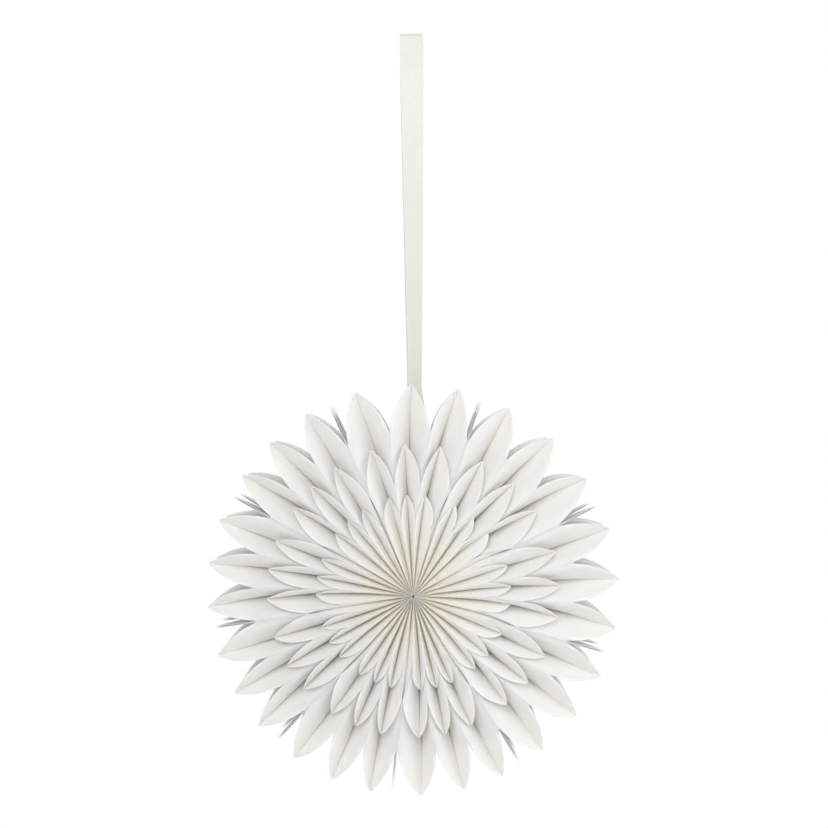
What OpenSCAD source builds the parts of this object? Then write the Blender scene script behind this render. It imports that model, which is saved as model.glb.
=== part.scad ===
// Paper advent star on a hanging ribbon.
// The star's axis runs along Y and its front faces -Y. The origin is the top of the ribbon's loop.
// The star is a ring of die-cut paper leaves around the axis. Two leaves glued along three lines on
// each face of the star make one petal, and the lines are the creases, or keels, of an inner, a middle
// and an outer petal. Between the keels each leaf is glued to its neighbour along the rim lines.
// Three petals with a flat end leaf on each side make a unit, and nine units close the ring.

/* [Tips and shoulders] */
// Axis to the tips of the inner petals
inner_tip_r = 70; // [66:1:74]
// Axis to the tips of the middle petals
middle_tip_r = 106; // [98:1:112]
// Axis to the tips of the outer petals
outer_tip_r = 150; // [140:1:165]
// Axis to the shoulders where neighbouring inner petals part
inner_shoulder_r = 52; // [46:1:58]
// Axis to the shoulders where neighbouring middle petals part
middle_shoulder_r = 77; // [72:1:84]
// Axis to the shoulders where neighbouring outer petals part
outer_shoulder_r = 115; // [108:1:122]
// Part of the way from tip to shoulder at which a rim has half of its spread
rim_round = 0.36; // [0.3:0.01:0.5]

/* [Depth] */
// Middle of the star to the keels of the outer petals
outer_keel_depth = 22; // [18:1:28]
// Outer keels to the outer rims in front of them
outer_rim_rise = 14; // [10:1:18]
// Outer rims to the middle keels in front of them
middle_keel_rise = 7.5; // [6:0.5:10]
// Middle keels to the middle rims in front of them
middle_rim_rise = 6.5; // [5:0.5:9]
// Middle rims to the inner keels in front of them
inner_keel_rise = 5; // [4:0.5:7]
// Inner keels to the inner rims in front of them
inner_rim_rise = 5; // [4:0.5:7]
// Depth at the spine as a multiple of the depth at the rims
spine_swell = 1.1; // [1:0.02:1.2]
// Step from a rim line to the notch under the petal in front of it
notch_step = 0.8; // [0.5:0.1:1.5]

/* [Spread] */
// Angle of the join at the left end of the top unit
first_join = 113.7; // [105:0.1:120]
// Share of a unit's angle from one outer petal to the next
outer_pitch = 0.323; // [0.3:0.001:0.33]
// Share of a unit's angle from one middle petal to the next
middle_pitch = 0.305; // [0.29:0.001:0.32]
// Share of a unit's angle from one inner petal to the next
inner_pitch = 0.274; // [0.26:0.001:0.29]
// Spread of the inner rims towards a petal of the same unit
inner_rim_spread = 0.92; // [0.7:0.01:0.95]
// Spread of the inner rims towards an end leaf
inner_end_spread = 0.75; // [0.6:0.01:0.95]
// Angle by which each end leaf leans away from the join
end_leaf_splay = 0.5; // [0.2:0.1:0.8]
// Angle by which the outer tip of the top petal leans clockwise
top_petal_lean = 1.3; // [0:0.1:2]

/* [Paper] */
// Thickness of a leaf at the outer tips
paper_t = 0.35; // [0.25:0.01:0.4]
// Thickness of a leaf at the spine, where the stack is pressed
spine_t = 0.12; // [0.1:0.01:0.13]
// Gap for the glue between two leaves
glue_gap = 0.03; // [0.02:0.005:0.04]
// Radius of the core that the inner edges of the leaves leave open
spine_r = 2.4; // [2.4:0.1:3.5]

/* [Ribbon] */
// Top of the loop to the axis of the star
hang_height = 410; // [350:5:500]
// Distance of the axis to the right of the loop
axis_shift = 1.4; // [-2:0.1:2]
// Width of the ribbon
ribbon_w = 17.5; // [12:0.5:19]
// Thickness of the ribbon
ribbon_t = 0.5; // [0.3:0.1:0.7]
// Gap between the two runs of the ribbon
run_gap = 0.2; // [0.1:0.05:0.3]
// Clear width of the eye at the top of the loop
eye_w = 8; // [6:0.5:12]
// Height of the eye, from the meeting of the runs to the top
eye_h = 24; // [18:1:30]
// Axis to the lower end of the ribbon inside the top petal
ribbon_end_r = 97; // [92:1:100]
// Length of the ribbon that is glued to the petal
glued_length = 16; // [10:1:16]
// Clearance between the ribbon and the leaf that it is glued to
ribbon_clear = 0.25; // [0.2:0.05:0.4]
// Share of the width that still shows from the front where the ribbon meets the petals
ribbon_show = 0.56; // [0.5:0.01:0.9]

/* [Hidden] */
// Angle that each unit spans, clockwise from the top one, as this star happens to hang open
unit_spans = [43.7, 45.4, 42.3, 40.5, 37, 37, 37, 38, 39.1];
// Angle by which each unit's inner petals lean from their even places
inner_leans = [1.4, 5.2, 1.4, -0.2, 1.1, 0.3, 1.2, -1.9, -1.8];
paper_colour = "#f2f1ed";
ribbon_colour = "#ecebe3";
units = len(unit_spans);
petals_per_unit = 3;
leaves_per_unit = 2 * petals_per_unit + 2;
outer_rim_depth = outer_keel_depth + outer_rim_rise;
middle_keel_depth = outer_rim_depth + middle_keel_rise;
middle_rim_depth = middle_keel_depth + middle_rim_rise;
inner_keel_depth = middle_rim_depth + inner_keel_rise;
inner_rim_depth = inner_keel_depth + inner_rim_rise;
// Rulings of the ribbon's sweep: along each run, and around the eye
run_rings = 22;
eye_rings = 8;
// Angles around the eye at which the two runs join its round top
eye_from = -10;
eye_to = 190;
// Share of the glued end's sideways place that the hanging part takes up
hang_lean = 0.5;

PETALS = [for (n = [1:units * petals_per_unit]) str("petal_", two(n))];
ENDS = [for (n = [1:units]) str("end_leaves_", two(n))];

function two(n) = n < 10 ? str("0", n) : str(n);
function mix(a, b, k) = a + (b - a) * k;
function smooth(k) = let (c = min(max(k, 0), 1)) c * c * (3 - 2 * c);
function unit_of(v) = v / norm(v);
function sum_to(list, n) = n <= 0 ? 0 : list[n - 1] + sum_to(list, n - 1);

// Angles, counterclockwise from +X as seen from the front
function join_at(u) = first_join - sum_to(unit_spans, u) * 360 / sum_to(unit_spans, units);
function span_of(u) = join_at(u) - join_at(u + 1);
function middle_of(u) = (join_at(u) + join_at(u + 1)) / 2;
// Lean of petal p of unit u at a tier: share is 1 for the inner tier and 0 for the others
function lean(u, p, share, outermost) =
    share * inner_leans[u] - (outermost && u == 0 && p == 0 ? top_petal_lean : 0);
function keel_angle(u, p, pitch, share, outermost) =
    middle_of(u) - p * pitch * span_of(u) + lean(u, p, share, outermost);
// Angle at which petal p meets its neighbour on a side: +1 is clockwise, -1 counterclockwise
function meet_angle(u, p, side, pitch, share) =
    p * side == 1
        ? middle_of(u) - side * (span_of(u) / 2 - end_leaf_splay)
        : middle_of(u) - (p + side / 2) * pitch * span_of(u) + lean(u, 2, share, false);

// Leaf thickness and the step from leaf to leaf, at a radius
function leaf_t(r) = mix(spine_t, paper_t, (r - spine_r) / (outer_tip_r - spine_r));
function leaf_step(r) = leaf_t(r) + glue_gap;

// How much a line from the spine to a shoulder still swells at a radius on the way
function swell_at(r, shoulder_r) = mix(spine_swell, 1, (r - spine_r) / (shoulder_r - spine_r));

// Outline of a leaf's front half, from the front edge to the middle of the star. Each row is a line
// from the spine to the edge: [depth before the swell, radius, spread from keel to rim, pitch, share of
// the inner lean, is outermost, swell at the edge]. The rows at the notches run beside the rim line
// next to them, so that no two rows cross.
function half_outline(front_spread) = [
    [inner_rim_depth, inner_shoulder_r, front_spread, inner_pitch, 1, false, 1],
    [mix(inner_keel_depth, inner_rim_depth, 0.5), mix(inner_tip_r, inner_shoulder_r, rim_round),
        front_spread / 2, inner_pitch, 1, false, 1],
    [inner_keel_depth, inner_tip_r, 0, inner_pitch, 1, false, 1],
    [middle_rim_depth + notch_step, inner_shoulder_r, 1 - notch_step / inner_keel_rise,
        (inner_pitch + middle_pitch) / 2, 0.5, false, swell_at(inner_shoulder_r, middle_shoulder_r)],
    [middle_rim_depth, middle_shoulder_r, 1, (inner_pitch + middle_pitch) / 2, 0.5, false, 1],
    [mix(middle_keel_depth, middle_rim_depth, 0.5), mix(middle_tip_r, middle_shoulder_r, rim_round),
        0.5, middle_pitch, 0, false, 1],
    [middle_keel_depth, middle_tip_r, 0, middle_pitch, 0, false, 1],
    [outer_rim_depth + notch_step, middle_shoulder_r, 1 - notch_step / middle_keel_rise,
        (middle_pitch + outer_pitch) / 2, 0, false, swell_at(middle_shoulder_r, outer_shoulder_r)],
    [outer_rim_depth, outer_shoulder_r, 1, (middle_pitch + outer_pitch) / 2, 0, false, 1],
    [mix(outer_keel_depth, outer_rim_depth, 0.5), mix(outer_tip_r, outer_shoulder_r, rim_round),
        0.5, outer_pitch, 0, true, 1],
    [outer_keel_depth, outer_tip_r, 0, outer_pitch, 0, true, 1]
];
// The whole outline: the front half, the middle notch and the front half mirrored, with Y for depth
function outline(front_spread) =
    let (half = half_outline(front_spread), last = len(half) - 1)
    concat(
        [for (row = half) [-row[0], row[1], row[2], row[3], row[4], row[5], row[6]]],
        [[0, outer_shoulder_r, 1, outer_pitch, 0, true, 1]],
        [for (i = [last:-1:0]) half[i]]
    );
// The two ends of a row, at the spine and at the edge, as [radius, depth]
function row_ends(row) = [[spine_r, row[0] * spine_swell], [row[1], row[0] * row[6]]];

// A point at a radius and an angle, moved sideways by off, at depth y
function polar(r, a, off, y) = [r * cos(a) - off * sin(a), y, r * sin(a) + off * cos(a)];
// Sideways place of a leaf's middle: at a keel beside its partner, at a rim beside its neighbour
function leaf_off(r, side, spread, layers) = -side * leaf_step(r) * (0.5 * (1 - spread) - layers * spread);

// Points of one petal leaf: for each row of the outline two at the spine and two at the rim
function leaf_points(u, p, side) =
    let (
        at_end = p * side == 1,
        layers = at_end ? 1.5 : 0.5,
        rows = outline(at_end ? inner_end_spread : inner_rim_spread)
    )
    [for (row = rows)
        let (
            spread = row[2],
            even = 2 / leaves_per_unit,
            spine_a = mix(keel_angle(u, p, even, 0, false), meet_angle(u, p, side, even, 0), spread),
            rim_a = mix(
                keel_angle(u, p, row[3], row[4], row[5]), meet_angle(u, p, side, row[3], row[4]), spread),
            angles = [spine_a, rim_a],
            ends = row_ends(row)
        )
        for (end = [0, 1], face = [-0.5, 0.5])
            let (r = ends[end][0])
            polar(r, angles[end], leaf_off(r, side, spread, layers) + face * leaf_t(r), ends[end][1])
    ];

// Faces between row i and the next one. The seam of each strip runs from the spine end of the row
// with the smaller spread to the rim end of the other, so that the petals' facets are flat.
function strip_faces(i, keel_first) =
    let (a = 4 * i, b = a + 4)
    concat(
        keel_first
            ? [[a, a + 2, b + 2], [a, b + 2, b], [a + 1, b + 3, a + 3], [a + 1, b + 1, b + 3]]
            : [[a, a + 2, b], [a + 2, b + 2, b], [a + 1, b + 1, a + 3], [a + 3, b + 1, b + 3]],
        [[a, b, b + 1], [a, b + 1, a + 1], [a + 2, a + 3, b + 3], [a + 2, b + 3, b + 2]]
    );
function leaf_faces(rows) =
    let (last = len(rows) - 1)
    concat(
        [for (i = [0:last - 1]) each strip_faces(i, rows[i][2] < rows[i + 1][2])],
        [[0, 1, 3], [0, 3, 2]],
        [[4 * last, 4 * last + 3, 4 * last + 1], [4 * last, 4 * last + 2, 4 * last + 3]]
    );

module petal_leaf(u, p, side) {
    polyhedron(leaf_points(u, p, side), leaf_faces(outline(1)), convexity = 8);
}

// One petal of each tier, front and back: two leaves glued along their keels
module petal(u, p) {
    color(paper_colour) {
        petal_leaf(u, p, -1);
        petal_leaf(u, p, 1);
    }
}

// A flat leaf at an end of a unit, with the same outline
module end_leaf(u, side) {
    rows = outline(1);
    a = middle_of(u) - side * (span_of(u) / 2 - end_leaf_splay);
    points = [for (row = rows, q = row_ends(row), face = [-0.5, 0.5])
        polar(q[0], a, side * leaf_step(q[0]) / 2 + face * leaf_t(q[0]), q[1])];
    polyhedron(points, leaf_faces(rows), convexity = 8);
}

// The two flat leaves that lie together at the join before unit u
module end_leaves(u) {
    color(paper_colour) {
        end_leaf(u, -1);
        end_leaf((u + units - 1) % units, 1);
    }
}

// The ribbon's frame at height z: [centre, direction across its width, direction through it].
// It hangs straight from the loop, turning as it goes down, and then lies on a leaf of the top petal.
outer_show_z = outer_tip_r - hang_height;
ribbon_end_z = ribbon_end_r - hang_height;
glue_top_z = ribbon_end_z + glued_length;
stack_t = 2 * ribbon_t + run_gap;
function leaf_face(r, spread) =
    let (
        a = mix(keel_angle(0, 0, outer_pitch, 0, true), meet_angle(0, 0, 1, outer_pitch, 0), spread),
        y = -outer_keel_depth * (1 - spread)
    )
    polar(r, a, leaf_off(r, 1, spread, 0.5) + leaf_t(r) / 2, y);
function glued_centre(z) =
    let (
        r = z + hang_height,
        keel = leaf_face(r, 0),
        rim = leaf_face(r, 1),
        along = unit_of([rim[0] - keel[0], rim[1] - keel[1], 0]),
        inward = [-along[1], along[0], 0]
    )
    (keel + rim) / 2 - [0, 0, r - z] + [axis_shift, 0, 0] + inward * (stack_t / 2 + ribbon_clear);
function glued_turn(z) =
    let (keel = leaf_face(z + hang_height, 0), rim = leaf_face(z + hang_height, 1))
    atan2(rim[1] - keel[1], rim[0] - keel[0]);
function free_turn(z) = acos(mix(1, ribbon_show, min(max(-z - eye_h, 0) / (-outer_show_z - eye_h), 1)));
function settled(z) = smooth((outer_show_z - z) / (outer_show_z - glue_top_z));
function ribbon_turn(z) = mix(free_turn(z), glued_turn(z), settled(z));
function ribbon_centre(z) =
    let (glue = glued_centre(glue_top_z), k = z / glue_top_z)
    mix([glue[0] * k * hang_lean, glue[1] * k, z], glued_centre(z), settled(z));

// One ring of the ribbon: its four corners at half a width and half a thickness from the middle
function ribbon_ring(c, across, through) =
    [for (s = [[-1, -1], [1, -1], [1, 1], [-1, 1]])
        c + across * (s[0] * ribbon_w / 2) + through * (s[1] * ribbon_t / 2)];
function run_ring(z, run) =
    let (
        turn = ribbon_turn(z),
        through = [-sin(turn), cos(turn), 0],
        across = [cos(turn), sin(turn), 0]
    )
    ribbon_ring(ribbon_centre(z) + through * (run * (run_gap + ribbon_t) / 2), across, through * run);
// Rings around the eye: a teardrop whose sides swell from the two runs into a round top
eye_r = (eye_w + ribbon_t) / 2;
function eye_ring(k) =
    let (
        a = mix(eye_from, eye_to, k),
        centre = [0, -eye_r * cos(a), -eye_r - ribbon_t / 2 + eye_r * sin(a)],
        through = [0, -cos(a), sin(a)]
    )
    ribbon_ring(centre, [1, 0, 0], through);
run_z = [for (i = [0:run_rings]) mix(ribbon_end_z, -eye_h, i / run_rings)];
// Faces between ring i and the next one, on side j. Both faces of the tape and both runs are split
// along the same diagonal, so that they stay apart where the tape turns.
function tape_faces(i, j, rings) =
    let (a = 4 * i + j, b = 4 * i + (j + 1) % 4, other = (j == 2) != (i >= (rings - 1) / 2))
    other ? [[a, b, a + 4], [b, b + 4, a + 4]] : [[a, b, b + 4], [a, b + 4, a + 4]];
function swept_faces(rings) =
    concat(
        [for (i = [0:rings - 2], j = [0:3]) each tape_faces(i, j, rings)],
        [[3, 2, 1, 0], [for (j = [0:3]) 4 * (rings - 1) + j]]
    );

// The ribbon: one tape, up from the petal, over the eye and down again
module hanging_ribbon() {
    rings = concat(
        [for (z = run_z) run_ring(z, -1)],
        [for (i = [0:eye_rings]) eye_ring(i / eye_rings)],
        [for (i = [run_rings:-1:0]) run_ring(run_z[i], 1)]
    );
    color(ribbon_colour)
        polyhedron([for (ring = rings) each ring], swept_faces(len(rings)), convexity = 6);
}

// Puts the star's axis in its place under the loop
module in_place() {
    translate([axis_shift, 0, -hang_height]) children();
}

for (u = [0:units - 1], p = [0:petals_per_unit - 1])
    in_place() petal(u, p - 1);
for (u = [0:units - 1])
    in_place() end_leaves(u);
hanging_ribbon();
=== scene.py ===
import math

import bpy
import numpy as np
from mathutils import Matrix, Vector


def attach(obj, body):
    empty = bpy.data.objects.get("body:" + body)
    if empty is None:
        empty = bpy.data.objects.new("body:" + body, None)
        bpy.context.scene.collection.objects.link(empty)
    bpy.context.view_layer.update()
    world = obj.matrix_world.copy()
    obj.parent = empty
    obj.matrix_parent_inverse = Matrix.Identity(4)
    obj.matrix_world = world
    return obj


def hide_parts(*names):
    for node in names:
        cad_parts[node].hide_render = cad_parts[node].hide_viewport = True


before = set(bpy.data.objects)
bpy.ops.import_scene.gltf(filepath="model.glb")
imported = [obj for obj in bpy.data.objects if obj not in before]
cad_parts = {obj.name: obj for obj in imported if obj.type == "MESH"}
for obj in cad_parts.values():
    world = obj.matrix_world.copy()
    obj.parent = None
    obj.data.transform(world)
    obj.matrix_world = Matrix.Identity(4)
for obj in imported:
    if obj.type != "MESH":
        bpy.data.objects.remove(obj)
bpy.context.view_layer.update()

# Lengths are in millimetres up to the point where a mesh is made, and angles in degrees.
MM = 0.001

# The star's tiers, as in the CAD model
INNER_TIP, MIDDLE_TIP, OUTER_TIP = 70.0, 106.0, 150.0
INNER_SHOULDER, MIDDLE_SHOULDER, OUTER_SHOULDER = 52.0, 77.0, 115.0
OUTER_KEEL, OUTER_RIM = 22.0, 36.0
HANG_HEIGHT = 410.0
AXIS_SHIFT = 1.4

# Angles of the tips, clockwise from the left petal of the top unit, as this star hangs open
OUTER_TIPS = [
    106.6, 90.5, 77.2, 62.2, 47.3, 32.7, 17.4, 3.1, -10.8, -24.8, -37.7, -51.2, -64.4, -75.7, -88.0,
    -102.0, -113.3, -125.4, -138.7, -150.0, -161.5, -175.2, -187.4, -199.8, -213.7, -225.8, -238.7]
MIDDLE_TIPS = [
    106.7, 93.4, 79.4, 62.1, 47.1, 33.0, 15.6, 2.2, -10.3, -26.4, -38.6, -50.5, -66.6, -77.4, -87.9,
    -102.8, -113.2, -123.9, -138.4, -149.4, -161.6, -176.9, -188.6, -200.1, -214.8, -225.7, -237.5]
INNER_TIPS = [
    104.7, 93.8, 83.1, 65.1, 52.7, 40.3, 16.0, 3.6, -6.7, -24.9, -40.1, -50.9, -66.8, -76.2, -85.5,
    -103.5, -113.4, -123.3, -139.2, -149.4, -159.3, -179.2, -189.3, -200.1, -217.3, -228.1, -238.9]
# Angles of the joins before each unit and after the last: at the outer petals, and at the inner ones
JOINS = [114.4, 70.3, 24.6, -18.0, -58.3, -96.0, -132.3, -169.3, -207.4, -245.6]
INNER_JOINS = [114.0, 70.6, 26.8, -16.0, -59.4, -95.1, -131.0, -169.6, -208.0, -246.0]
# Angles of the two outermost inner rims of each unit
END_RIMS = [
    (112.4, 74.4), (71.4, 31.0), (22.4, -13.6), (-18.6, -57.0), (-61.8, -91.2),
    (-98.4, -129.3), (-132.8, -165.2), (-172.6, -205.4), (-210.0, -244.8)]
UNITS = 9
PETALS = 3 * UNITS

TIP = {"outer": OUTER_TIP, "middle": MIDDLE_TIP, "inner": INNER_TIP}
SHOULDER = {"outer": OUTER_SHOULDER, "middle": MIDDLE_SHOULDER, "inner": INNER_SHOULDER}
TIPS = {"outer": OUTER_TIPS, "middle": MIDDLE_TIPS, "inner": INNER_TIPS}
END_TIP = OUTER_TIP - 3.0
END_FROM_R = 3.0
MIDDLE_START = 20.0
# How much of its own angle a petal keeps at the spine, where a unit's petals are drawn together
SPINE_SHARE = 0.75

# Depths of the ridges between the petals, which fall from the centre. A tier's ridges lie a little
# behind those of the tier in front of it.
RIDGE_TOP, RIDGE_SLOPE, RIDGE_BEND = 66.0, 0.1356, 0.00109
NESTING = {"outer": 1.2, "middle": 0.6, "inner": 0.0}
# Depths of the keels in the valleys: at the tip, their rise for each millimetre inward, their rise at
# the centre, and their sag inward from the tip with the length that it takes
KEEL_AT_TIP = {"outer": OUTER_KEEL, "middle": 31.5, "inner": 42.0}
KEEL_RISE = {"outer": 0.02, "middle": 0.04, "inner": 0.05}
KEEL_SWELL = {"outer": 0.0, "middle": 0.0, "inner": 24.0}
KEEL_SAG = {"outer": (11.0, 50.0), "middle": (6.0, 42.0), "inner": (5.0, 32.0)}
# How level a leaf ends at the ridge, and how steeply it starts at the keel
CURL = {"outer": (2.0, 1.1), "middle": (2.0, 1.1), "inner": (1.8, 1.1)}
# Depth over which the end leaves lean apart to make the valley along a join
GAP_DEPTH = 6.0

# The paper
SPINE_R = 0.9
SPINE_PAPER = 0.07
PAPER = 0.44
PAPER_FULL_R = 60.0
GLUE_GAP = 0.03
# At the front ridges a leaf's middle all but meets its neighbour's, so that no dark slit shows
RIDGE_LAYERS = 0.04
RIM_BOW = 0.55
TIP_SPLAY = 0.3
SPLAY_FROM_R = 108.0
END_THINNED = 0.45
END_THIN_R = 128.0
# A cut edge counts as such from this far inside the shoulder, where neighbours part
CUT_MARGIN = 1.0
# Painted shade: the paper takes a warm tint, for light bounced between the leaves, deep in the valleys
# near the centre, fading out towards the cut edges.
FOLD_SHADE_R = 62.0
FOLD_SHADE_RIM = 3.0
PAPER_COLOUR = (0.895, 0.891, 0.872, 1)
FOLD_SHADE_COLOUR = (0.935, 0.895, 0.785, 1)
# Painted highlight: the cut edges are coloured whiter than the paper.
RIM_HIGHLIGHT_COLOUR = (0.96, 0.96, 0.95, 1)

# Rows and columns of the meshes
OUTER_FRONT_ROWS, OUTER_INSIDE_ROWS, OUTER_COLUMNS = 13, 7, 20
BOAT_ROWS, BOAT_COLUMNS = 14, 18
END_RIDGE_ROWS, END_TIP_ROWS, END_COLUMNS = 15, 9, 20
SHARP_ANGLE = 38.0

# The ribbon
RIBBON_W = 17.5
RIBBON_T = 0.5
RUN_GAP = 0.2
EYE_W = 8.0
EYE_H = 24.0
RIBBON_END_R = 97.0
GLUED_LENGTH = 16.0
RIBBON_CLEAR = 0.25
# Share of its width that the ribbon shows from the front just above the star
RIBBON_SHOW = 0.56
SELVEDGE = 0.14
SELVEDGE_THINNED = 0.45
RIBBON_COLUMNS = 14
RUN_RINGS, EYE_RINGS = 150, 41
RIBBON_DARK = (0.84, 0.835, 0.785, 1)
RIBBON_LIGHT = (0.88, 0.878, 0.835, 1)

# The photograph's frame, in its own pixels
FRAME_PX = 828.0
AXIS_PX = (413.4, 589.8)
MM_PER_PX = 0.7285
CAMERA_DISTANCE = 1200.0
SENSOR = 36.0

# Light, in metres and watts
AMBIENT = 0.45
STAR_MIDDLE = (0.0, 0.0, -0.41)
RIBBON_LOW = (0.0, 0.0, -0.3)


def mix(a, b, k):
    """From a to b as k goes from 0 to 1."""
    return a + (b - a) * k


def smooth(k):
    """From 0 to 1 as k does, level at both ends."""
    c = np.clip(k, 0.0, 1.0)
    return c * c * (3.0 - 2.0 * c)


def rim_share(spread):
    """How far from tip to shoulder the rim has this spread."""
    b = 1.0 + RIM_BOW
    return (b - math.sqrt(b * b - 4.0 * RIM_BOW * spread)) / (2.0 * RIM_BOW)


def paper_t(r):
    """Thickness of the paper at a radius: the stack is pressed together at the spine."""
    return mix(SPINE_PAPER, PAPER, smooth((r - SPINE_R) / (PAPER_FULL_R - SPINE_R)))


def ridge_depth(r):
    """Depth of the front ridges at a radius."""
    return RIDGE_TOP - RIDGE_SLOPE * r - RIDGE_BEND * r * r


def ridge_radius(depth):
    """Radius at which the ridges have this depth."""
    c = RIDGE_TOP - depth
    return (-RIDGE_SLOPE + math.sqrt(RIDGE_SLOPE ** 2 + 4.0 * RIDGE_BEND * c)) / (2.0 * RIDGE_BEND)


def ridge_top(tier, r):
    """Depth of a tier's ridges, which go level beyond the shoulders."""
    return ridge_depth(np.minimum(r, SHOULDER[tier])) - NESTING[tier]


def keel_depth(tier, r):
    """Depth of a tier's keels: they sag inward from the tip, and the inner ones rise at the centre."""
    inward = np.maximum(TIP[tier] - r, 0.0) / TIP[tier]
    sag, length = KEEL_SAG[tier]
    level = KEEL_AT_TIP[tier] + KEEL_RISE[tier] * (TIP[tier] - r) + KEEL_SWELL[tier] * inward ** 1.5
    return level - sag * smooth((TIP[tier] - r) / length)


def spine_angle(i):
    """Angle of petal i at the spine: there a unit's petals are drawn together."""
    first = i - i % 3
    middle = sum(INNER_TIPS[first:first + 3]) / 3.0
    return mix(middle, INNER_TIPS[i], SPINE_SHARE)


def keel_line(tier, i, r):
    """Angle of petal i's keel at a radius."""
    return mix(spine_angle(i), TIPS[tier][i], r / TIP[tier])


def ridge_line(i, side, r):
    """Angle at which petal i meets what lies on its side: +1 is clockwise, -1 counterclockwise."""
    if i % 3 == 1 + side:
        join = i // 3 + (side == 1)
        inner = END_RIMS[i // 3][side == 1]
        nodes = [inner, inner, JOINS[join], JOINS[join]]
    else:
        j = i + side
        nodes = [
            (spine_angle(i) + spine_angle(j)) / 2.0,
            (INNER_TIPS[i] + INNER_TIPS[j]) / 2.0,
            (MIDDLE_TIPS[i] + MIDDLE_TIPS[j]) / 2.0,
            (OUTER_TIPS[i] + OUTER_TIPS[j]) / 2.0,
        ]
    return np.interp(r, [0.0, INNER_SHOULDER, MIDDLE_SHOULDER, OUTER_SHOULDER], nodes)


def curled(tier, spread):
    """How far up from keel to ridge a leaf is at a spread: steep at the keel, level at the ridge."""
    level, steep = CURL[tier]
    return (1.0 - (1.0 - spread) ** level) ** (1.0 / steep)


def spreads(count):
    """Spreads of the rows from ridge to keel, closer together near the keel."""
    return np.linspace(1.0, 0.0, count) ** 1.8


def columns(count):
    """Places of the columns from the spine, 0, to the rim, 1: closer together near the rim."""
    q = np.linspace(0.0, 1.0, count)
    return 1.0 - (1.0 - q) ** 1.3


def edge_layers(i, side, own):
    """Layers of paper between a ridge and a leaf's middle: two end leaves lie between at a join."""
    return own + (1.0 if i % 3 == 1 + side else 0.0)


def leaf_point(tier, i, side, spread, r, depth, layers):
    """Points of a leaf at a spread from keel to ridge, with the leaf's own place in the stack."""
    angle = mix(keel_line(tier, i, r), ridge_line(i, side, r), spread)
    a = np.radians(angle)
    off = -side * (paper_t(r) + GLUE_GAP) * (0.5 * (1.0 - spread) - layers * spread)
    return np.stack([r * np.cos(a) - off * np.sin(a), depth, r * np.sin(a) + off * np.cos(a)], axis=-1)


def outer_grid(i, side):
    """Middle surface of a leaf of an outer petal, through the whole star: each row is a line from
    the spine to the edge, from the front ridge over both keels to the back ridge."""
    q = columns(OUTER_COLUMNS)
    half = [(u, curled("outer", u), True) for u in spreads(OUTER_FRONT_ROWS)]
    half += [(u, u, False) for u in np.linspace(0.0, 1.0, OUTER_INSIDE_ROWS)[1:]]
    points, edges = [], []
    for spread, t, before in half:
        radius = mix(OUTER_TIP, OUTER_SHOULDER, rim_share(spread))
        r = mix(SPINE_R, radius, q)
        keel = keel_depth("outer", r)
        top = ridge_top("outer", r)
        depth = keel + (top - keel) * t if before else keel * (1.0 - t)
        layers = edge_layers(i, side, RIDGE_LAYERS if before else 0.5)
        points.append(leaf_point("outer", i, side, spread, r, depth, layers))
        edges.append((radius, depth[-1]))
    points = np.array(points)
    front = points * np.array([1.0, -1.0, 1.0])
    grid = np.concatenate([front, points[-2::-1]])
    return grid, edges + edges[-2::-1], q


def boat_grid(tier, i, side):
    """Middle surface of one side of a middle or inner petal, in front of the star."""
    layers = edge_layers(i, side, RIDGE_LAYERS)
    q = columns(BOAT_COLUMNS)
    start = MIDDLE_START if tier == "middle" else SPINE_R
    points, edges = [], []
    for spread in spreads(BOAT_ROWS):
        radius = mix(TIP[tier], SHOULDER[tier], rim_share(spread))
        r = mix(start, radius, q)
        keel = keel_depth(tier, r)
        depth = keel + (ridge_top(tier, r) - keel) * curled(tier, spread)
        points.append(leaf_point(tier, i, side, spread, r, depth, layers))
        edges.append((radius, depth[-1]))
    grid = np.array(points) * np.array([1.0, -1.0, 1.0])
    return grid, edges, q


def end_grid(join, side):
    """Middle surface of an end leaf at a join: side -1 belongs to the unit clockwise of it. Its front
    leans over to the petal beside it, which leaves a narrow valley along the join."""
    petal = (3 * join if side == -1 else 3 * join - 1) % PETALS
    q = columns(END_COLUMNS)
    half = []
    for depth in np.linspace(ridge_depth(END_FROM_R), OUTER_RIM, END_RIDGE_ROWS)[:-1]:
        half.append((depth, ridge_radius(depth)))
    for s in np.linspace(1.0, 0.0, END_TIP_ROWS):
        half.append((mix(OUTER_KEEL, OUTER_RIM, s), mix(END_TIP, OUTER_SHOULDER, rim_share(s))))
    for s in np.linspace(0.0, 1.0, END_TIP_ROWS)[1:]:
        half.append((mix(OUTER_KEEL, 0.0, s), mix(END_TIP, OUTER_SHOULDER, rim_share(s))))
    points = []
    for depth, radius in half:
        r = mix(SPINE_R, radius, q)
        angle = np.interp(
            r, [INNER_SHOULDER, MIDDLE_SHOULDER], [INNER_JOINS[join], JOINS[join]])
        gap = (ridge_line(petal, side, r) - angle + 180.0) % 360.0 - 180.0
        apart = np.clip((depth - ridge_depth(r) + GAP_DEPTH) / GAP_DEPTH, 0.0, 1.0)
        a = np.radians(angle + gap * apart)
        splay = TIP_SPLAY * smooth((r - SPLAY_FROM_R) / (OUTER_TIP - SPLAY_FROM_R))
        off = side * ((paper_t(r) + GLUE_GAP) / 2.0 + splay)
        points.append(np.stack(
            [r * np.cos(a) - off * np.sin(a), np.full(len(q), depth), r * np.sin(a) + off * np.cos(a)],
            axis=-1))
    points = np.array(points)
    grid = np.concatenate([points * np.array([1.0, -1.0, 1.0]), points[-2::-1]])
    edges = [(radius, depth) for depth, radius in half]
    return grid, edges + edges[-2::-1], q


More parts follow.
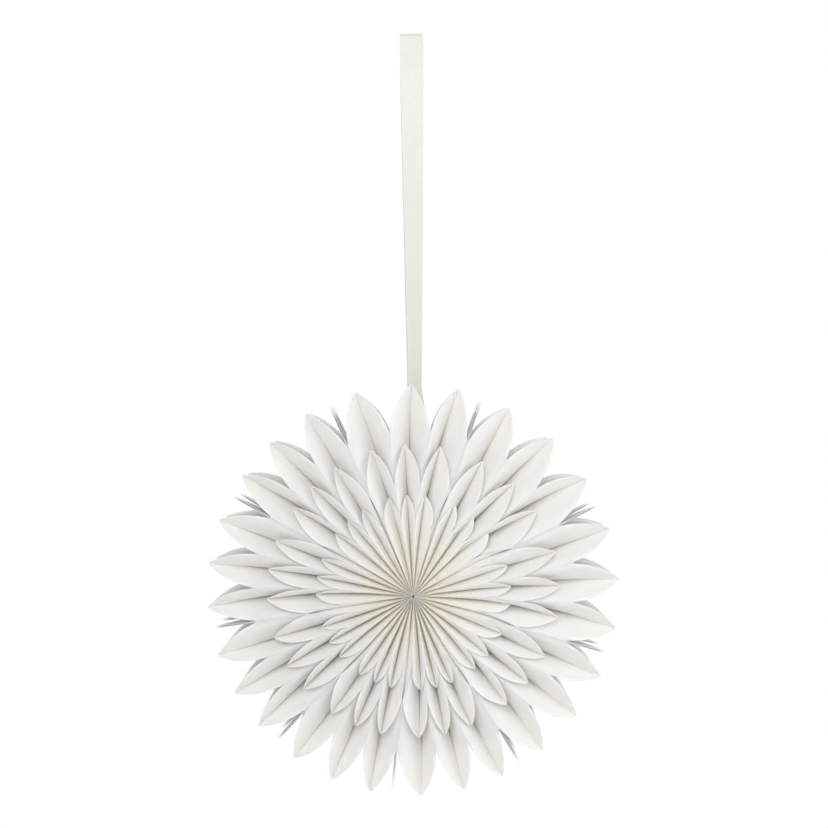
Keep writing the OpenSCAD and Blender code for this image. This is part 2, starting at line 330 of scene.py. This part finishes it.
def rim_distance(edges, q, start, past):
    """Distance of each grid point from the cut edge, where the edge lies beyond the radius past."""
    edge = np.array(edges)
    a, b = edge[:-1], edge[1:]
    free = (a[:, 0] >= past) & (b[:, 0] >= past)
    a, d = a[free], (b - a)[free]
    length2 = np.maximum((d * d).sum(1), 1e-9)
    result = np.zeros((len(edges), len(q)))
    for k, (radius, depth) in enumerate(edges):
        pts = np.stack([mix(start, radius, q), np.full(len(q), depth)], axis=1)
        t = np.clip(((pts[:, None] - a) * d).sum(2) / length2, 0.0, 1.0)
        near = a + t[..., None] * d
        result[k] = np.sqrt(((pts[:, None] - near) ** 2).sum(2)).min(1)
    return result


def ridge_distance(grid):
    """Distance of each grid point of a boat from the ridge, its first row, at the same radius."""
    return np.linalg.norm(grid - grid[:1], axis=2)


def sheet_mesh(grid, thickness):
    """Closed sheet around a middle surface: vertices and faces."""
    n, m, _ = grid.shape
    du = np.gradient(grid, axis=0)
    dv = np.gradient(grid, axis=1)
    normal = np.cross(du, dv)
    normal /= np.maximum(np.linalg.norm(normal, axis=2, keepdims=True), 1e-9)
    half = thickness[..., None] / 2.0
    verts = np.concatenate([(grid + normal * half).reshape(-1, 3), (grid - normal * half).reshape(-1, 3)])
    index = np.arange(n * m).reshape(n, m)
    quad = np.stack([index[:-1, :-1], index[:-1, 1:], index[1:, 1:], index[1:, :-1]], axis=-1)
    quad = quad.reshape(-1, 4)
    border = np.concatenate([index[0, :], index[1:, -1], index[-1, -2::-1], index[-2:0:-1, 0]])
    after = np.roll(border, -1)
    wall = np.stack([border, border + n * m, after + n * m, after], axis=1)
    faces = np.concatenate([quad[:, ::-1], quad + n * m, wall[:, ::-1]])
    return verts, faces


def to_frame(verts):
    """From the star's own place, in millimetres, to the shared frame, in metres."""
    return (verts + np.array([AXIS_SHIFT, 0.0, -HANG_HEIGHT])) * MM


def make_object(name, verts, faces, material, values=None):
    """Object from vertices and faces, with values for its points that the material reads."""
    mesh = bpy.data.meshes.new(name)
    mesh.from_pydata(verts.tolist(), [], faces.tolist())
    for key, data in (values or {}).items():
        attribute = mesh.attributes.new(key, "FLOAT", "POINT")
        attribute.data.foreach_set("value", np.ascontiguousarray(data, dtype=np.float32))
    mesh.validate()
    mesh.update()
    mesh.shade_smooth()
    mesh.set_sharp_from_angle(angle=math.radians(SHARP_ANGLE))
    obj = bpy.data.objects.new(name, mesh)
    bpy.context.scene.collection.objects.link(obj)
    obj.data.materials.append(material)
    return obj


def link(tree, a, b):
    tree.links.new(a, b)


def new_material(name):
    """Material with its node tree and its shader."""
    material = bpy.data.materials.new(name)
    material.use_nodes = True
    tree = material.node_tree
    return material, tree, tree.nodes["Principled BSDF"]


def ramp_of(tree, source, low, high, low_colour, high_colour):
    """A colour that goes from low_colour to high_colour as source goes from low to high."""
    span = tree.nodes.new("ShaderNodeMapRange")
    span.inputs["From Min"].default_value = low
    span.inputs["From Max"].default_value = high
    link(tree, source, span.inputs["Value"])
    blend = tree.nodes.new("ShaderNodeMix")
    blend.data_type = "RGBA"
    blend.inputs["A"].default_value = low_colour
    blend.inputs["B"].default_value = high_colour
    link(tree, span.outputs["Result"], blend.inputs["Factor"])
    return blend


def paper_material():
    """Matt white card that lets a little light through, with fine fibres. Painted shade: a warm tint deep
    in the valleys near the centre. Painted highlight: whiter along the cut edges."""
    material, tree, shader = new_material("paper")
    shader.inputs["Subsurface Weight"].default_value = 0.6
    shader.inputs["Subsurface Radius"].default_value = (1.0, 0.95, 0.85)
    shader.inputs["Subsurface Scale"].default_value = 0.0005
    shader.inputs["Roughness"].default_value = 0.86
    shader.inputs["Specular IOR Level"].default_value = 0.22
    place = tree.nodes.new("ShaderNodeTexCoord").outputs["Object"]

    rim = tree.nodes.new("ShaderNodeAttribute")
    rim.attribute_name = "rim"
    fold_shade = tree.nodes.new("ShaderNodeAttribute")
    fold_shade.attribute_name = "fold_shade"
    # Painted shade: a warm tint deep in the valleys near the centre.
    body = ramp_of(tree, fold_shade.outputs["Fac"], 0.0, 1.0, PAPER_COLOUR, FOLD_SHADE_COLOUR)
    # Painted highlight: whiter within a little of the cut edges.
    cut = ramp_of(tree, rim.outputs["Fac"], 0.15, 0.9, RIM_HIGHLIGHT_COLOUR, PAPER_COLOUR)
    link(tree, body.outputs["Result"], cut.inputs["B"])

    cloud = tree.nodes.new("ShaderNodeTexNoise")
    cloud.inputs["Scale"].default_value = 260.0
    cloud.inputs["Detail"].default_value = 4.0
    link(tree, place, cloud.inputs["Vector"])
    mottle = ramp_of(tree, cloud.outputs["Fac"], 0.3, 0.7, (0.985, 0.984, 0.98, 1), (1.0, 1.0, 1.0, 1))
    tinted = tree.nodes.new("ShaderNodeMix")
    tinted.data_type = "RGBA"
    tinted.blend_type = "MULTIPLY"
    tinted.inputs["Factor"].default_value = 1.0
    link(tree, cut.outputs["Result"], tinted.inputs["A"])
    link(tree, mottle.outputs["Result"], tinted.inputs["B"])
    link(tree, tinted.outputs["Result"], shader.inputs["Base Color"])

    fibre = tree.nodes.new("ShaderNodeTexNoise")
    fibre.inputs["Scale"].default_value = 1500.0
    fibre.inputs["Detail"].default_value = 3.0
    link(tree, place, fibre.inputs["Vector"])
    bump = tree.nodes.new("ShaderNodeBump")
    bump.inputs["Strength"].default_value = 0.18
    bump.inputs["Distance"].default_value = 0.00008
    link(tree, fibre.outputs["Fac"], bump.inputs["Height"])
    link(tree, bump.outputs["Normal"], shader.inputs["Normal"])
    return material


class Sheets:
    """Gathers closed sheets into one mesh with its point values."""

    def __init__(self):
        self.verts, self.faces, self.rims, self.fold_shades = [], [], [], []
        self.count = 0

    def add(self, grid, edges, q, start, past, thinned=0.0, crease=None):
        """Adds a sheet, thinned by that share at its outer end. A crease is how far each point lies
        from the ridges, where these are cut edges too."""
        radius = np.hypot(grid[..., 0], grid[..., 2])
        outward = smooth((radius - SPLAY_FROM_R) / (END_THIN_R - SPLAY_FROM_R))
        thickness = paper_t(radius) * (1.0 - thinned * outward)
        verts, faces = sheet_mesh(grid, thickness)
        # Distances from the cut edges, which set the painted highlight.
        rim = rim_distance(edges, q, start, past)
        if crease is not None:
            rim = np.minimum(rim, crease)
        # Share of the painted shade: near the centre, and away from the cut edges.
        fold_shade = (1.0 - smooth(radius / FOLD_SHADE_R)) * smooth(rim / FOLD_SHADE_RIM)
        self.verts.append(verts)
        self.faces.append(faces + self.count)
        self.rims += [rim.ravel(), rim.ravel()]
        self.fold_shades += [fold_shade.ravel(), fold_shade.ravel()]
        self.count += len(verts)

    def make(self, name, material):
        values = {"rim": np.concatenate(self.rims), "fold_shade": np.concatenate(self.fold_shades)}
        verts = to_frame(np.concatenate(self.verts))
        return make_object(name, verts, np.concatenate(self.faces), material, values)


def mirrored(grid):
    """The same surface at the back of the star, with its rows turned round to keep its sides."""
    return (grid * np.array([1.0, -1.0, 1.0]))[::-1]


def make_petal(name, i, material):
    """One petal of each tier, front and back."""
    sheets = Sheets()
    for side in (-1, 1):
        grid, edges, q = outer_grid(i, side)
        sheets.add(grid, edges, q, SPINE_R, OUTER_SHOULDER - CUT_MARGIN)
        for tier in ("middle", "inner"):
            grid, edges, q = boat_grid(tier, i, side)
            if tier == "middle":
                start, past = MIDDLE_START, SHOULDER[tier] - CUT_MARGIN
                front, back = None, None
            else:
                start, past = SPINE_R, 0.0
                # The inner ridges take the painted highlight too.
                front = ridge_distance(grid)
                back = front[::-1]
            sheets.add(grid, edges, q, start, past, crease=front)
            sheets.add(mirrored(grid), edges[::-1], q, start, past, crease=back)
    return sheets.make(name, material)


def make_end_pair(name, join, material):
    """The two flat leaves at a join."""
    sheets = Sheets()
    for side in (-1, 1):
        grid, edges, q = end_grid(join, side)
        sheets.add(grid, edges, q, SPINE_R, OUTER_SHOULDER - CUT_MARGIN, thinned=END_THINNED)
    return sheets.make(name, material)


# The ribbon's place, as in the CAD model
SHOW_Z = OUTER_TIP - HANG_HEIGHT
END_Z = RIBBON_END_R - HANG_HEIGHT
GLUE_TOP_Z = END_Z + GLUED_LENGTH
STACK_T = 2 * RIBBON_T + RUN_GAP


def leaf_face(r, spread):
    """A point of the top petal's right leaf, on the face that the ribbon is glued to."""
    angle = mix(keel_line("outer", 1, r), float(ridge_line(1, 1, r)), spread)
    off = -(paper_t(r) + GLUE_GAP) * (0.5 * (1 - spread) - 0.5 * spread) + paper_t(r) / 2
    a = math.radians(angle)
    return np.array([
        r * math.cos(a) - off * math.sin(a),
        -keel_depth("outer", r) * (1 - spread),
        r * math.sin(a) + off * math.cos(a),
    ])


def glued_frame(z):
    """Centre and turn of the ribbon's two runs at height z, where they are glued to that leaf."""
    r = z + HANG_HEIGHT
    keel = leaf_face(r, 0.0)
    rim = leaf_face(r, 1.0)
    along = rim - keel
    along[2] = 0.0
    along /= np.linalg.norm(along)
    inward = np.array([-along[1], along[0], 0.0])
    centre = (keel + rim) / 2 + inward * (STACK_T / 2 + RIBBON_CLEAR)
    centre[0] += AXIS_SHIFT
    centre[2] = z
    return centre, math.atan2(along[1], along[0])


def ribbon_frame(z):
    """Centre and turn of the ribbon's two runs at height z."""
    glue, glue_turn = glued_frame(z)
    end, _ = glued_frame(GLUE_TOP_Z)
    settled = float(smooth((SHOW_Z - z) / (SHOW_Z - GLUE_TOP_Z)))
    k = z / GLUE_TOP_Z
    free = np.array([end[0] * k * 0.5, end[1] * k, z])
    turned = min(max(-z - EYE_H, 0.0) / (-SHOW_Z - EYE_H), 1.0)
    free_turn = math.acos(mix(1.0, RIBBON_SHOW, turned))
    return mix(free, glue, settled), mix(free_turn, glue_turn, settled)


def ribbon_path():
    """Rings of the tape: centre, direction across it and outward direction."""
    run = []
    heights = np.linspace(END_Z, -EYE_H, RUN_RINGS)
    for z in heights:
        centre, turn = ribbon_frame(z)
        across = np.array([math.cos(turn), math.sin(turn), 0.0])
        through = np.array([-math.sin(turn), math.cos(turn), 0.0])
        run.append((centre, across, through))
    gap = (RUN_GAP + RIBBON_T) / 2
    rings = [(c - t * gap, a, -t) for c, a, t in run]
    eye_r = (EYE_W + RIBBON_T) / 2
    sideways = np.array([1.0, 0.0, 0.0])
    backward = np.array([0.0, 1.0, 0.0])
    between = np.linspace(0.1, 0.9, 9)
    side_top = None
    for angle in np.linspace(-10.0, 190.0, EYE_RINGS):
        a = math.radians(angle)
        centre = np.array([0.0, -eye_r * math.cos(a), -eye_r - RIBBON_T / 2 + eye_r * math.sin(a)])
        through = np.array([0.0, -math.cos(a), math.sin(a)])
        if side_top is None:
            side_top = centre
            last = rings[-1][0]
            for k in between:
                lean = through * k * 0.2 - backward
                lean /= np.linalg.norm(lean)
                rings.append((mix(last, side_top, k), sideways, lean))
        rings.append((centre, sideways, through))
    low = run[-1][0] + run[-1][2] * gap
    high = rings[-1][0]
    for k in between:
        rings.append((mix(high, low, k), sideways, backward))
    rings += [(c + t * gap, a, t) for c, a, t in run[::-1]]
    return rings


def make_ribbon(material):
    """The tape, a thin band with thinner selvedges, and its length."""
    rings = ribbon_path()
    half_w = RIBBON_W / 2
    half_t = RIBBON_T / 2
    profile = []
    for i in range(RIBBON_COLUMNS + 1):
        s = -1 + 2 * i / RIBBON_COLUMNS
        edge = 1.0 - SELVEDGE_THINNED * max(0.0, (abs(s) - 1.0 + SELVEDGE) / SELVEDGE)
        profile.append((s * half_w, half_t * edge))
    loop = profile + [(x, -t) for x, t in reversed(profile)]
    verts = []
    length = 0.0
    for i, (c, a, t) in enumerate(rings):
        if i:
            length += np.linalg.norm(c - rings[i - 1][0])
        for x, h in loop:
            verts.append(c + a * x + t * h)
    n = len(loop)
    faces = []
    for i in range(len(rings) - 1):
        for j in range(n):
            a, b = i * n + j, i * n + (j + 1) % n
            faces.append((a, b, b + n, a + n))
    last = (len(rings) - 1) * n
    for j in range(RIBBON_COLUMNS):
        faces.append((j + 1, j, n - 1 - j, n - 2 - j))
        faces.append((last + j, last + j + 1, last + n - 2 - j, last + n - 1 - j))
    obj = make_object("ribbon", np.array(verts) * MM, np.array(faces), material)
    return obj, length


def ribbon_material():
    """Off-white cotton tape: a fine mottle of colour and bump, and a fuzzy surface."""
    material, tree, shader = new_material("ribbon")
    shader.inputs["Roughness"].default_value = 0.9
    shader.inputs["Specular IOR Level"].default_value = 0.15
    shader.inputs["Sheen Weight"].default_value = 0.25
    shader.inputs["Sheen Roughness"].default_value = 0.5
    place = tree.nodes.new("ShaderNodeTexCoord").outputs["Object"]
    cloud = tree.nodes.new("ShaderNodeTexNoise")
    cloud.inputs["Scale"].default_value = 420.0
    cloud.inputs["Detail"].default_value = 5.0
    link(tree, place, cloud.inputs["Vector"])
    colour = ramp_of(tree, cloud.outputs["Fac"], 0.3, 0.7, RIBBON_DARK, RIBBON_LIGHT)
    link(tree, colour.outputs["Result"], shader.inputs["Base Color"])
    bump = tree.nodes.new("ShaderNodeBump")
    bump.inputs["Strength"].default_value = 0.35
    bump.inputs["Distance"].default_value = 0.0002
    link(tree, cloud.outputs["Fac"], bump.inputs["Height"])
    link(tree, bump.outputs["Normal"], shader.inputs["Normal"])
    return material


def make_camera():
    """Level camera: the picture's middle lies above the star's axis by what the photograph shows."""
    x = AXIS_SHIFT + (FRAME_PX / 2 - AXIS_PX[0]) * MM_PER_PX
    z = -HANG_HEIGHT + (AXIS_PX[1] - FRAME_PX / 2) * MM_PER_PX
    data = bpy.data.cameras.new("camera")
    data.sensor_width = SENSOR
    data.lens = SENSOR * CAMERA_DISTANCE / (FRAME_PX * MM_PER_PX)
    data.clip_end = 50.0
    camera = bpy.data.objects.new("camera", data)
    camera.location = (x * MM, (-OUTER_KEEL - CAMERA_DISTANCE) * MM, z * MM)
    camera.rotation_euler = (math.radians(90.0), 0.0, 0.0)
    bpy.context.scene.collection.objects.link(camera)
    bpy.context.scene.camera = camera


def area_light(name, place, aim, size, power):
    """Round soft lamp that lights the star and stays out of sight."""
    data = bpy.data.lights.new(name, "AREA")
    data.shape = "DISK"
    data.size = size
    data.energy = power
    lamp = bpy.data.objects.new(name, data)
    lamp.location = place
    lamp.visible_camera = False
    direction = np.array(aim) - np.array(place)
    lamp.rotation_euler = Vector(direction).to_track_quat("-Z", "Y").to_euler()
    bpy.context.scene.collection.objects.link(lamp)


def make_lights():
    """A large key a little left of the camera, a weak fill on the right that reaches the turned ribbon,
    and a lamp behind the star, whose light the paper lets through."""
    area_light("key", (-0.4, -2.1, 0.6), STAR_MIDDLE, 2.0, 24.0)
    area_light("fill", (1.8, -1.0, 0.0), RIBBON_LOW, 1.6, 10.0)
    area_light("back", (0.3, 1.9, 0.3), STAR_MIDDLE, 1.8, 20.0)


def make_world(ambient):
    """White where the camera, a mirror or glass sees it, and an even soft light on the object."""
    world = bpy.data.worlds.new("studio")
    world.use_nodes = True
    tree = world.node_tree
    tree.nodes.clear()
    path = tree.nodes.new("ShaderNodeLightPath")
    seen = tree.nodes.new("ShaderNodeMath")
    seen.operation = "MAXIMUM"
    link(tree, path.outputs["Is Camera Ray"], seen.inputs[0])
    link(tree, path.outputs["Is Glossy Ray"], seen.inputs[1])
    seen_too = tree.nodes.new("ShaderNodeMath")
    seen_too.operation = "MAXIMUM"
    link(tree, seen.outputs["Value"], seen_too.inputs[0])
    link(tree, path.outputs["Is Transmission Ray"], seen_too.inputs[1])
    lit = tree.nodes.new("ShaderNodeBackground")
    lit.inputs["Color"].default_value = (1, 1, 1, 1)
    lit.inputs["Strength"].default_value = ambient
    white = tree.nodes.new("ShaderNodeBackground")
    white.inputs["Color"].default_value = (1, 1, 1, 1)
    white.inputs["Strength"].default_value = 1.0
    choose = tree.nodes.new("ShaderNodeMixShader")
    link(tree, seen_too.outputs["Value"], choose.inputs["Fac"])
    link(tree, lit.outputs["Background"], choose.inputs[1])
    link(tree, white.outputs["Background"], choose.inputs[2])
    out = tree.nodes.new("ShaderNodeOutputWorld")
    link(tree, choose.outputs["Shader"], out.inputs["Surface"])
    bpy.context.scene.world = world


def make_floor():
    """Pale floor well below the star: it takes the star's shadow, and fades to white further out."""
    mesh = bpy.data.meshes.new("floor")
    side = 6.0
    height = -1.0
    mesh.from_pydata(
        [(-side, -side, height), (side, -side, height), (side, side, height), (-side, side, height)],
        [], [(0, 1, 2, 3)])
    floor = bpy.data.objects.new("floor", mesh)
    bpy.context.scene.collection.objects.link(floor)
    material, tree, shader = new_material("floor")
    shader.inputs["Base Color"].default_value = (0.86, 0.86, 0.86, 1)
    shader.inputs["Roughness"].default_value = 0.9
    shader.inputs["Specular IOR Level"].default_value = 0.1
    place = tree.nodes.new("ShaderNodeTexCoord").outputs["Object"]
    flat = tree.nodes.new("ShaderNodeVectorMath")
    flat.operation = "MULTIPLY"
    flat.inputs[1].default_value = (1, 1, 0)
    link(tree, place, flat.inputs[0])
    far = tree.nodes.new("ShaderNodeVectorMath")
    far.operation = "LENGTH"
    link(tree, flat.outputs["Vector"], far.inputs[0])
    fade = tree.nodes.new("ShaderNodeMapRange")
    fade.interpolation_type = "SMOOTHSTEP"
    fade.inputs["From Min"].default_value = 0.35
    fade.inputs["From Max"].default_value = 1.3
    link(tree, far.outputs["Value"], fade.inputs["Value"])
    path = tree.nodes.new("ShaderNodeLightPath")
    both = tree.nodes.new("ShaderNodeMath")
    both.operation = "MULTIPLY"
    link(tree, fade.outputs["Result"], both.inputs[0])
    link(tree, path.outputs["Is Camera Ray"], both.inputs[1])
    white = tree.nodes.new("ShaderNodeEmission")
    white.inputs["Color"].default_value = (1, 1, 1, 1)
    choose = tree.nodes.new("ShaderNodeMixShader")
    link(tree, both.outputs["Value"], choose.inputs["Fac"])
    link(tree, shader.outputs["BSDF"], choose.inputs[1])
    link(tree, white.outputs["Emission"], choose.inputs[2])
    out = tree.nodes["Material Output"]
    link(tree, choose.outputs["Shader"], out.inputs["Surface"])
    mesh.materials.append(material)


bpy.context.scene.view_settings.view_transform = "Standard"
bpy.context.scene.cycles.max_bounces = 14
bpy.context.scene.cycles.diffuse_bounces = 12
make_camera()
paper = paper_material()
cotton = ribbon_material()

for i in range(PETALS):
    petal = make_petal(f"petal_paper_{i + 1:02d}", i, paper)
    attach(petal, "root")
    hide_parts(f"petal_{i + 1:02d}")
for join in range(UNITS):
    ends = make_end_pair(f"end_paper_{join + 1:02d}", join, paper)
    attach(ends, "root")
    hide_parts(f"end_leaves_{join + 1:02d}")

ribbon, ribbon_length = make_ribbon(cotton)
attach(ribbon, "root")
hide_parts("hanging_ribbon")

make_world(AMBIENT)
make_lights()
make_floor()
